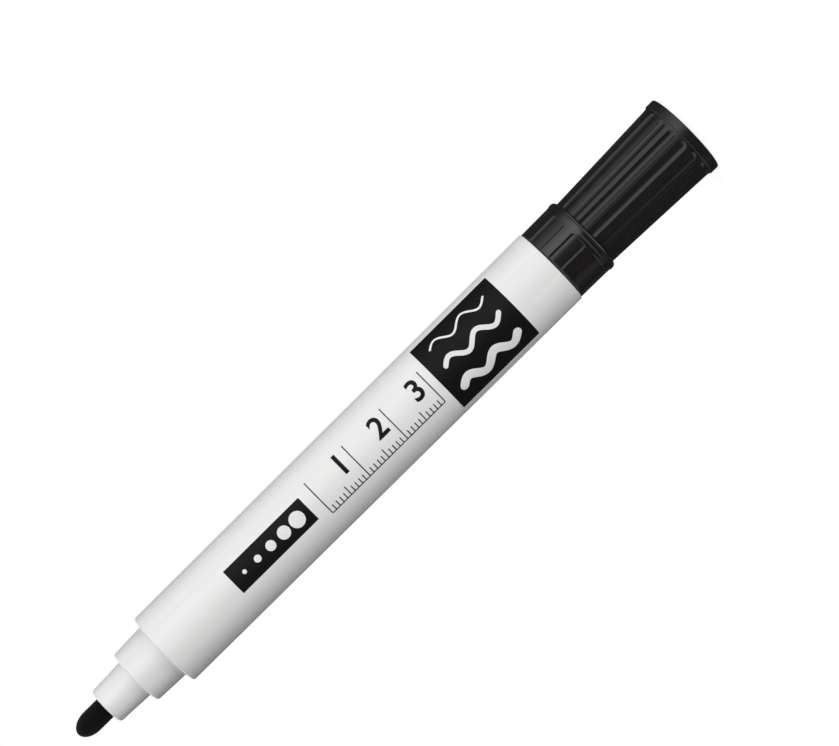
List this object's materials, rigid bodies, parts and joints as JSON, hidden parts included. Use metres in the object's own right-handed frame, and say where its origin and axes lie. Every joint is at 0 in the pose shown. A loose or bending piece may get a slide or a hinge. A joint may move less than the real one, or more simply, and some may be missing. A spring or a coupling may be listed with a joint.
{
  "type": "whiteboard marker",
  "caption": "Whiteboard marker with a bullet nib on a stepped nose, a slim tapered barrel, a grip-panelled tail plug and a fluted cap posted on the tail.",
  "frame": {"origin": "centre of the cap's flat end, which the marker stands on", "axes": "+Z along the marker's axis towards the nib; -Y is the side that carries the print, and the print reads upright with +X up"},
  "size_m": [0.0178, 0.0178, 0.164],
  "materials": {
    "barrel": "white polypropylene, satin gloss",
    "plug": "black polypropylene, satin gloss",
    "cap": "black polypropylene, satin gloss",
    "inner_cap": "natural polyethylene, soft sheen",
    "nib": "ink-soaked acrylic fibre, matte",
    "fibre": "ink-soaked polyester fibre",
    "film": "thin clear film"
  },
  "bodies": {
    "cap": {"cap_shell": "cap", "inner_cap": "inner_cap"},
    "marker": {"barrel": "barrel", "nib": "nib", "reservoir_core": "fibre", "reservoir_wrap": "film", "tail_plug": "plug"}
  },
  "joints": [
    {"name": "cap_pull", "type": "slide", "parent": "cap", "child": "marker", "axis": [0, 0, 1], "range_m": [0, 0.02]}
  ]
}
